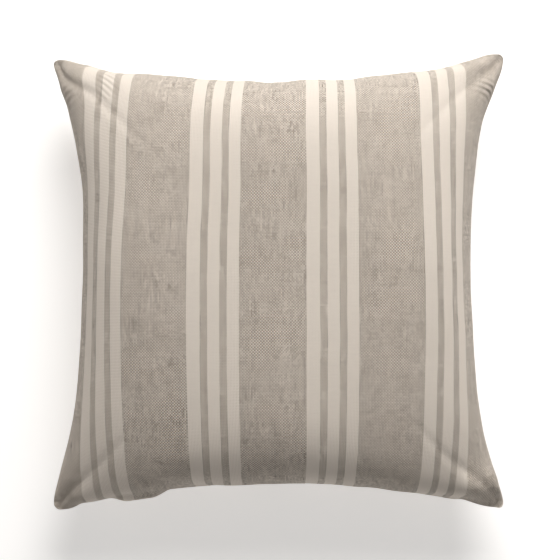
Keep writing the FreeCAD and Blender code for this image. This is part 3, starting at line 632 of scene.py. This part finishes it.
def make_zip_stitching(material):
    """The two rows of machine stitches that hold the tapes to the allowances."""
    angle = np.linspace(-ZIP_HALF_ANGLE, ZIP_HALF_ANGLE, 400)
    stitches = []
    for sign in (1, -1):
        stitches += dashes(on_arc(angle, 7.85 * MM, sign * 3.35 * MM), 2.6 * MM, 0.8)
    verts, faces = tubes(stitches, 0.15 * MM)
    make_piece(
        "zipper_stitching", verts + (0, 0, SEAM_Z), faces, material, ["zipper_stitching"]
    )


def soften(node, body, material, width):
    """A copy of a hard CAD node with its edges rounded, which replaces it."""
    mesh = frame["nodes"][node].data.copy()
    editable = bmesh.new()
    editable.from_mesh(mesh)
    bmesh.ops.remove_doubles(editable, verts=editable.verts, dist=1e-6)
    bmesh.ops.dissolve_limit(
        editable, angle_limit=math.radians(1), verts=editable.verts, edges=editable.edges
    )
    editable.to_mesh(mesh)
    editable.free()
    mesh.materials.clear()
    mesh.materials.append(material)
    mesh.polygons.foreach_set("use_smooth", [True] * len(mesh.polygons))
    piece = bpy.data.objects.new(f"{node}_rounded", mesh)
    bpy.context.scene.collection.objects.link(piece)
    bevel = piece.modifiers.new("rounded", "BEVEL")
    bevel.width, bevel.segments, bevel.limit_method = width, 2, "ANGLE"
    bevel.angle_limit = math.radians(35)
    bevel.harden_normals = False
    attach(piece, body)
    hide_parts(node)
    return piece


# ---------------------------------------------------------------- the insert and the labels


def sample(grid, flat):
    """Points of a cover grid at places given on the flat cover."""
    last = len(grid) - 1
    u, v = (np.clip((flat[..., k] + HALF) / (2 * HALF) * last, 0, last - 1e-6) for k in (0, 1))
    i, j = u.astype(int), v.astype(int)
    a, b = (u - i)[..., None], (v - j)[..., None]
    lower = grid[i, j] * (1 - a) + grid[i + 1, j] * a
    upper = grid[i, j + 1] * (1 - a) + grid[i + 1, j + 1] * a
    return lower * (1 - b) + upper * b


def softened_square(half, corner, cells):
    """A grid over a square with round corners, and each point's distance from its edge."""
    t = np.linspace(-half, half, cells + 1)
    x, y = np.meshgrid(t, t, indexing="ij")
    from_edge = half - np.maximum(np.abs(x), np.abs(y))
    return np.stack(rounded(x, y, half, corner), -1), from_edge


def inner_form(side, half, corner, clear, cells, lowest):
    """A dome inside the cover, clear of it, that closes to the seam plane at its own edge."""
    cover = FRONT if side > 0 else BACK
    flat, gap = softened_square(half, corner, cells)
    place = sample(cover, flat) - sample(grid_normals(cover, side), flat) * clear
    close = 1 - (1 - np.clip(gap / (36 * MM), 0, 1)) ** 3
    place[..., 2] = side * np.maximum(side * place[..., 2] * close, lowest)
    place[..., 2][gap < 1e-6] = side * lowest
    return place, flat


def make_insert(cloth_material, thread_material, filling_material):
    """The bag of plain cloth inside the cover, its sewing, and its filling."""
    cells, lowest = 96, 0.05 * MM
    for side, word in ((1, "front"), (-1, "back")):
        grid, flat = inner_form(side, 0.238, 0.045, 2.8 * MM, cells, lowest)
        line = around(grid) * (1, 1, 0)
        tangent = unit(np.roll(line, -1, 0) - np.roll(line, 1, 0))
        inward = np.stack([-tangent[:, 1], tangent[:, 0], np.zeros(len(tangent))], -1)
        fold = [(0.4, 0.1), (2, 0.05), (4.5, 0.05), (7, 0.05), (7, 0.55), (4.5, 0.55), (2, 0.55)]
        rings = [seam_path(line, inward, depth, side * height) for depth, height in fold]
        turned = [around(flat) - inward[:, :2] * depth * MM for depth, _ in fold]
        rim, lining_rim = seam_path(line, inward, 0, side * 0.45), seam_path(line, inward, 1.0, side * 0.75)
        shell = sewn_panel(
            f"insert_shell_{word}", side, grid, flat, 0.5 * MM, rim, rings, lining_rim, turned,
            cloth_material,
        )
    stitches = []
    for height in (0.68, -0.68):
        loop = seam_path(line, inward, 2.5, height)
        stitches += dashes(np.concatenate([loop, loop[:1]]), 2.6 * MM, 0.84)
    verts, faces = tubes(stitches, 0.13 * MM, sides=5)
    make_piece(
        "insert_seam_thread", verts + (0, 0, SEAM_Z), faces, thread_material,
        ["insert_seam_thread"],
    )
    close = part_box("insert_closing_stitch")
    top = seam_path(line, inward, -0.35, 0)
    row = top[(np.abs(top[:, 0]) < close[1][0]) & (top[:, 1] > 0)]
    verts, faces = tubes(dashes(row[np.argsort(row[:, 0])], 2.2 * MM, 0.8), 0.14 * MM, sides=5)
    make_piece(
        "insert_closing_stitch", verts + (0, 0, SEAM_Z), faces, thread_material,
        ["insert_closing_stitch"],
    )
    upper, flat = inner_form(1, 0.229, 0.05, 5.2 * MM, cells, 0)
    lower, _ = inner_form(-1, 0.229, 0.05, 5.2 * MM, cells, 0)
    lumps = 0.9 * MM * (
        np.sin(flat[..., 0] * 95 + 2 * np.sin(flat[..., 1] * 41)) * np.sin(flat[..., 1] * 83 + 1.3)
    )
    upper[..., 2] -= np.abs(lumps) * ramp(0, 0.03, upper[..., 2])
    lower[..., 2] += np.abs(lumps) * ramp(0, 0.03, -lower[..., 2])
    n = cells + 1
    top_index = np.arange(n * n).reshape(n, n)
    bottom_index = top_index.copy()
    inside = np.zeros((n, n), bool)
    inside[1:-1, 1:-1] = True
    bottom_index[inside] = n * n + np.arange(inside.sum())
    verts = np.concatenate([upper.reshape(-1, 3), lower[inside]]) + (0, 0, SEAM_Z)
    faces = np.concatenate([grid_faces(top_index, False), grid_faces(bottom_index, True)])
    filling = make_piece(
        "insert_filling", verts, faces, filling_material, ["insert_filling"]
    )


def make_label(name, x_range, y_middle, width, material):
    """A blank ribbon that lies between the cover's back panel and the insert."""
    across = np.linspace(-width / 2, width / 2, 9)
    along = np.linspace(*x_range, 17)
    x, y = np.meshgrid(along, y_middle + across, indexing="ij")
    flat = np.stack([x, y], -1)
    normal = sample(grid_normals(BACK, -1), flat)
    layers = []
    for depth in (1.25 * MM, 1.5 * MM):
        layers.append(sample(BACK, flat) - normal * depth)
    count = x.size
    index = np.arange(count).reshape(x.shape)
    border = around(index)
    flip = x_range[0] < x_range[1]
    sides = ring_faces(border, border + count, not flip)
    faces = np.concatenate([grid_faces(index, flip), grid_faces(index + count, not flip), sides])
    verts = np.concatenate([layer.reshape(-1, 3) for layer in layers]) + (0, 0, SEAM_Z)
    piece = make_piece(name, verts, faces, material, [name], sharp=60)
    cloth = np.concatenate([flat.reshape(-1, 2)] * 2) / MM
    add_vector(piece, "cloth", np.concatenate([cloth, np.zeros((len(cloth), 1))], 1))
    return piece


# ---------------------------------------------------------------- materials


class Finish:
    """A material's node tree, with short calls that add a node and join it."""

    def __init__(self, name, **constants):
        self.material = bpy.data.materials.new(name)
        self.material.use_nodes = True
        self.tree = self.material.node_tree
        self.shader = self.tree.nodes["Principled BSDF"]
        for socket, value in constants.items():
            self.shader.inputs[socket.replace("_", " ")].default_value = value

    def feed(self, socket, value):
        if isinstance(value, bpy.types.NodeSocket):
            self.tree.links.new(value, socket)
        else:
            socket.default_value = value

    def maths(self, operation, *values):
        node = self.tree.nodes.new("ShaderNodeMath")
        node.operation = operation
        for socket, value in zip(node.inputs, values):
            self.feed(socket, value)
        return node.outputs[0]

    def vector(self, x, y, z=0.0):
        node = self.tree.nodes.new("ShaderNodeCombineXYZ")
        for socket, value in zip(node.inputs, (x, y, z)):
            self.feed(socket, value)
        return node.outputs[0]

    def noise(self, place, scale, detail=2.0, roughness=0.5):
        node = self.tree.nodes.new("ShaderNodeTexNoise")
        self.feed(node.inputs["Vector"], place)
        node.inputs["Scale"].default_value = scale
        node.inputs["Detail"].default_value = detail
        node.inputs["Roughness"].default_value = roughness
        return node.outputs["Fac"]

    def chance(self, value):
        """A number from 0 to 1 that depends only on a value."""
        node = self.tree.nodes.new("ShaderNodeTexWhiteNoise")
        node.noise_dimensions = "1D"
        self.feed(node.inputs["W"], value)
        return node.outputs["Value"]

    def mix(self, share, first, second, blend="MIX"):
        node = self.tree.nodes.new("ShaderNodeMix")
        node.data_type, node.blend_type = "RGBA", blend
        for socket, value in zip((node.inputs[0], node.inputs[6], node.inputs[7]), (share, first, second)):
            self.feed(socket, (*value, 1) if isinstance(value, tuple) else value)
        return node.outputs[2]

    def cloth_place(self):
        """The place on the flat cloth, in millimetres."""
        node = self.tree.nodes.new("ShaderNodeAttribute")
        node.attribute_type, node.attribute_name = "GEOMETRY", "cloth"
        return node.outputs["Vector"]

    def own_place(self):
        """The place in the piece's own frame, in millimetres."""
        where = self.tree.nodes.new("ShaderNodeTexCoord")
        node = self.tree.nodes.new("ShaderNodeVectorMath")
        node.operation = "SCALE"
        self.feed(node.inputs[0], where.outputs["Object"])
        node.inputs["Scale"].default_value = 1000
        return node.outputs[0]

    def split(self, place):
        node = self.tree.nodes.new("ShaderNodeSeparateXYZ")
        self.feed(node.inputs[0], place)
        return node.outputs[0], node.outputs[1]

    def tone(self, value, spread, middle=1.0):
        """A brightness about the middle, from a number between 0 and 1."""
        return self.maths("MULTIPLY_ADD", value, spread, middle - spread / 2)

    def lit(self, colour, brightness):
        """A colour times a brightness."""
        grey = self.tree.nodes.new("ShaderNodeCombineColor")
        for socket in grey.inputs:
            self.feed(socket, brightness)
        return self.mix(1.0, colour, grey.outputs[0], "MULTIPLY")

    def finish(self, colour, height, depth, roughness=None):
        """Joins the colour, the bump and, if it varies, the roughness to the shader."""
        self.feed(self.shader.inputs["Base Color"], colour)
        bump = self.tree.nodes.new("ShaderNodeBump")
        bump.inputs["Strength"].default_value = 1.0
        bump.inputs["Distance"].default_value = depth
        self.feed(bump.inputs["Height"], height)
        self.feed(self.shader.inputs["Normal"], bump.outputs[0])
        if roughness is not None:
            self.feed(self.shader.inputs["Roughness"], roughness)
        return self.material


def weave(f, pitch, wander=0.0):
    """A plain weave: each warp's and weft's number, whether the warp is on top, and the threads' height."""
    place = f.cloth_place()
    x, y = f.split(place)
    if wander:
        drift_x = f.noise(place, 0.035, 1.0)
        drift_y = f.noise(place, 0.03, 1.0)
        x = f.maths("ADD", x, f.maths("MULTIPLY_ADD", drift_x, wander, -wander / 2))
        y = f.maths("ADD", y, f.maths("MULTIPLY_ADD", drift_y, wander, -wander / 2))
    across, upward = f.maths("DIVIDE", x, pitch), f.maths("DIVIDE", y, pitch)
    warp, weft = f.maths("FLOOR", across), f.maths("FLOOR", upward)
    parity = f.maths("FLOORED_MODULO", f.maths("ADD", warp, weft), 2.0)
    on_top = f.maths("GREATER_THAN", parity, 0.5)
    u = f.maths("SINE", f.maths("MULTIPLY", f.maths("FRACT", across), math.pi))
    v = f.maths("SINE", f.maths("MULTIPLY", f.maths("FRACT", upward), math.pi))
    warp_high = f.maths("MULTIPLY", u, f.maths("MULTIPLY_ADD", v, 0.5, 0.5))
    weft_high = f.maths("MULTIPLY", v, f.maths("MULTIPLY_ADD", u, 0.5, 0.5))
    over = f.maths("MULTIPLY", warp_high, on_top)
    under = f.maths("MULTIPLY", weft_high, f.maths("SUBTRACT", 1.0, on_top))
    return x, y, warp, weft, on_top, f.maths("ADD", over, under)


IVORY, TAUPE = (0.83, 0.75, 0.665), (0.29, 0.24, 0.193)

# The stripes, counted in warp threads from the middle of the cloth.
THREAD_PITCH = 1.5
FIRST_STRIPE, STRIPE_REPEAT, GROUP_WIDTH, STRIPE_STEP, STRIPE_WIDTH = -140.0, 80.0, 34.5, 13.5, 8.25

# Small gathers beside the seam: the middle in x and y, the reach in x and y, and the waves' slope,
# pitch and depth. Lengths are in millimetres on the flat cloth.
PUCKERS = (
    (-184, 219, 9, 20, 1.0, 8.0, 2.2),
    (234, 207, 15, 10, 0.15, 7.5, 5.0),
    (242, 170, 12, 9, -0.1, 6.0, 2.0),
    (-240, 205, 14, 16, -0.3, 9.0, 2.6),
)


def cover_cloth():
    """Plain weave with an ivory weft, and a warp in taupe with groups of three ivory stripes."""
    f = Finish(
        "striped_weave", Roughness=0.93, Specular_IOR_Level=0.12, Sheen_Weight=0.12, Sheen_Roughness=0.45
    )
    x, y, warp, weft, on_top, height = weave(f, THREAD_PITCH, wander=0.7)
    in_repeat = f.maths("FLOORED_MODULO", f.maths("SUBTRACT", warp, FIRST_STRIPE), STRIPE_REPEAT)
    in_stripe = f.maths("LESS_THAN", f.maths("FLOORED_MODULO", in_repeat, STRIPE_STEP), STRIPE_WIDTH)
    in_group = f.maths("LESS_THAN", in_repeat, GROUP_WIDTH)
    ivory = f.maths("MULTIPLY", in_stripe, in_group)
    along_warp = f.vector(f.maths("MULTIPLY", warp, 7.3), f.maths("MULTIPLY", y, 0.06))
    slub_warp = f.noise(along_warp, 1.0, 2.0)
    along_weft = f.vector(f.maths("MULTIPLY", x, 0.045), f.maths("MULTIPLY", weft, 7.3), 9.0)
    slub_weft = f.noise(along_weft, 1.0, 2.0)
    warp_tone = f.maths("MULTIPLY", f.tone(f.chance(warp), 0.3), f.tone(slub_warp, 0.8))
    weft_chance = f.chance(f.maths("ADD", weft, 900.5))
    weft_tone = f.maths("MULTIPLY", f.tone(weft_chance, 0.12), f.tone(slub_weft, 0.3))
    taupe = f.lit(TAUPE, warp_tone)
    pale = f.lit(IVORY, f.tone(slub_warp, 0.1))
    warp_colour = f.mix(ivory, taupe, pale)
    weft_colour = f.mix(ivory, f.lit(IVORY, weft_tone), f.lit(IVORY, f.tone(slub_weft, 0.12)))
    # How much of the warp shows at each crossing: the weave, loose crossings, and thick or thin threads.
    crossing = f.chance(f.maths("MULTIPLY_ADD", warp, 37.7, f.maths("MULTIPLY", weft, 11.3)))
    patch = f.noise(f.vector(f.maths("MULTIPLY", x, 0.03), f.maths("MULTIPLY", y, 0.05), 4.0), 1.0, 3.0)
    woven = f.maths("MULTIPLY", f.maths("SUBTRACT", on_top, 0.5), f.maths("MULTIPLY", patch, 1.9))
    loose = f.maths("MULTIPLY_ADD", crossing, 0.7, -0.35)
    thick = f.maths("MULTIPLY", f.maths("SUBTRACT", slub_weft, slub_warp), 1.15)
    share = f.maths("ADD", f.maths("ADD", woven, f.maths("ADD", loose, thick)), 0.5)
    share.node.use_clamp = True
    colour = f.mix(share, weft_colour, warp_colour)
    worn = f.tone(f.noise(f.cloth_place(), 0.02, 2.0), 0.08)
    for place in PUCKERS:
        height = f.maths("ADD", height, pucker(f, x, y, *place))
    return f.finish(f.lit(colour, worn), height, 0.3 * MM)


def pucker(f, x, y, middle_x, middle_y, reach_x, reach_y, slope, pitch, depth):
    """Short waves in the relief that fade out around a place on the flat cloth."""
    along = f.maths("MULTIPLY_ADD", f.maths("SUBTRACT", x, middle_x), 1 / reach_x, 0.0)
    upward = f.maths("MULTIPLY_ADD", f.maths("SUBTRACT", y, middle_y), 1 / reach_y, 0.0)
    square = f.maths("ADD", f.maths("MULTIPLY", along, along), f.maths("MULTIPLY", upward, upward))
    fade = f.maths("EXPONENT", f.maths("MULTIPLY", square, -1.0))
    phase = f.maths("MULTIPLY", f.maths("MULTIPLY_ADD", x, slope, y), 2 * math.pi / pitch)
    return f.maths("MULTIPLY", f.maths("SINE", phase), f.maths("MULTIPLY", fade, depth))


def plain_cloth(name, colour, pitch, depth, **constants):
    """Fine plain weave of one colour, with threads of slightly different tone."""
    f = Finish(name, Roughness=0.9, Specular_IOR_Level=0.15, **constants)
    _, _, warp, weft, on_top, height = weave(f, pitch, wander=pitch)
    weft_colour = f.lit(colour, f.tone(f.chance(weft), 0.08))
    warp_colour = f.lit(colour, f.tone(f.chance(warp), 0.08))
    tones = f.mix(on_top, weft_colour, warp_colour)
    cloudy = f.tone(f.noise(f.cloth_place(), 0.05, 3.0), 0.1)
    return f.finish(f.lit(tones, cloudy), height, depth)


def spun_thread(name, colour):
    """Spun thread: fine fibres, with a little variation along it."""
    f = Finish(name, Specular_IOR_Level=0.2, Sheen_Weight=0.2, Sheen_Roughness=0.4)
    place = f.own_place()
    fibre = f.noise(place, 6.0, 4.0, 0.7)
    tone = f.tone(f.noise(place, 0.4, 2.0), 0.15)
    return f.finish(f.lit(colour, tone), fibre, 0.08 * MM, f.tone(fibre, 0.2, 0.8))


def nylon():
    f = Finish("nylon_coil", Specular_IOR_Level=0.5, Coat_Weight=0.1, Coat_Roughness=0.3)
    place = f.own_place()
    fine = f.noise(place, 3.0, 3.0)
    return f.finish(f.lit((0.66, 0.60, 0.52), f.tone(fine, 0.1)), fine, 0.02 * MM, f.tone(fine, 0.15, 0.32))


def painted_metal():
    """Ivory lacquer over metal, a little thicker in places and rubbed duller in others."""
    f = Finish("painted_metal", Specular_IOR_Level=0.5, Coat_Weight=0.15, Coat_Roughness=0.25)
    place = f.own_place()
    grain, rubbed = f.noise(place, 2.5, 4.0, 0.6), f.noise(place, 0.35, 3.0)
    colour = f.lit((0.66, 0.60, 0.52), f.tone(rubbed, 0.14))
    return f.finish(colour, grain, 0.015 * MM, f.tone(rubbed, 0.25, 0.38))


def fibre_fill():
    """Loose white fibre: soft lumps under fine tangled strands."""
    f = Finish("fibre_fill", Roughness=1.0, Specular_IOR_Level=0.05, Sheen_Weight=0.3, Sheen_Roughness=0.6)
    place = f.own_place()
    tangle = f.noise(place, 0.5, 8.0, 0.8)
    lumps = f.noise(place, 0.04, 3.0)
    height = f.maths("ADD", f.maths("MULTIPLY", tangle, 0.35), lumps)
    return f.finish(f.lit((0.86, 0.86, 0.84), f.tone(tangle, 0.16)), height, 1.5 * MM)


def floor_finish():
    """A pale studio floor, softly lit from within so that it stays near white."""
    f = Finish("pale_floor", Roughness=1.0, Specular_IOR_Level=0.0)
    f.shader.inputs["Emission Color"].default_value = (1.0, 0.99, 0.98, 1)
    f.shader.inputs["Emission Strength"].default_value = FLOOR_GLOW
    tone = f.tone(f.noise(f.own_place(), 0.004, 1.0), 0.01)
    f.feed(f.shader.inputs["Base Color"], f.lit((0.90, 0.89, 0.88), tone))
    return f.material


# ---------------------------------------------------------------- stage, light and camera


SKY, FLOOR_GLOW = 0.2, 0.43
KEY_HEIGHT, KEY_TURN, KEY_DISTANCE, KEY_SIZE, KEY_POWER = 45, 12, 2.2, 1.3, 45.5
LENS, CAMERA_PLACE = 107.6, (1.6 * MM, 2.7 * MM, SEAM_Z + 1.8)


def make_stage():
    """A pale floor, one large soft light from beyond the pillow's top edge, and the camera above."""
    mesh = bpy.data.meshes.new("floor")
    mesh.from_pydata([(-6, -6, 0), (6, -6, 0), (6, 6, 0), (-6, 6, 0)], [], [(0, 1, 2, 3)])
    mesh.materials.append(floor_finish())
    floor = bpy.data.objects.new("floor", mesh)
    scene = bpy.context.scene
    scene.collection.objects.link(floor)
    world = bpy.data.worlds.new("studio")
    world.use_nodes = True
    sky = world.node_tree.nodes["Background"]
    sky.inputs["Color"].default_value = (1.0, 0.985, 0.965, 1)
    sky.inputs["Strength"].default_value = SKY
    scene.world = world
    lamp = bpy.data.lights.new("key", "AREA")
    lamp.shape, lamp.size, lamp.energy = "DISK", KEY_SIZE, KEY_POWER
    lamp.color = (1.0, 0.985, 0.965)
    key = bpy.data.objects.new("key", lamp)
    height, turn = math.radians(KEY_HEIGHT), math.radians(KEY_TURN)
    key.location = (
        KEY_DISTANCE * math.cos(height) * math.sin(turn),
        KEY_DISTANCE * math.cos(height) * math.cos(turn),
        KEY_DISTANCE * math.sin(height) + SEAM_Z,
    )
    aim = mathutils.Vector((0, 0, SEAM_Z)) - key.location
    key.rotation_euler = aim.to_track_quat("-Z", "Y").to_euler()
    scene.collection.objects.link(key)
    lens = bpy.data.cameras.new("camera")
    lens.lens = LENS
    camera = bpy.data.objects.new("camera", lens)
    camera.location = CAMERA_PLACE
    scene.collection.objects.link(camera)
    scene.camera = camera
    scene.view_settings.view_transform = "Standard"


# ---------------------------------------------------------------- the model


make_stage()
striped = cover_cloth()
thread = spun_thread("ivory_thread", (0.74, 0.68, 0.60))
for side in (1, -1):
    cover_panel(side, striped)
make_seam_sewing(thread)
coil_finish, metal = nylon(), painted_metal()
tape_finish = plain_cloth("zip_tape", (0.70, 0.64, 0.56), 0.45, 0.08 * MM)
for word, sign in (("upper", 1), ("lower", -1)):
    make_coil(word, sign, coil_finish)
    make_tape(word, sign, tape_finish)
make_zip_stitching(thread)
for stop in ("zipper_top_stops", "zipper_bottom_stop"):
    frame["nodes"][stop].data.materials.clear()
    frame["nodes"][stop].data.materials.append(metal)
soften("zipper_slider_body", "slider", metal, 0.1 * MM)
soften("zipper_pull_tab", "pull", metal, 0.15 * MM)
white_cloth = plain_cloth("insert_cloth", (0.86, 0.86, 0.85), 0.6, 0.06 * MM)
white_thread = spun_thread("white_thread", (0.88, 0.88, 0.87))
make_insert(white_cloth, white_thread, fibre_fill())
satin = plain_cloth("label_satin", (0.86, 0.85, 0.82), 0.3, 0.03 * MM, Sheen_Weight=0.3)
make_label("care_label", (-HALF + 5 * MM, -HALF + 36 * MM), -0.103, 32 * MM, satin)
make_label("insert_tag", (HALF - 8 * MM, HALF - 44 * MM), 0.075, 46 * MM, satin)
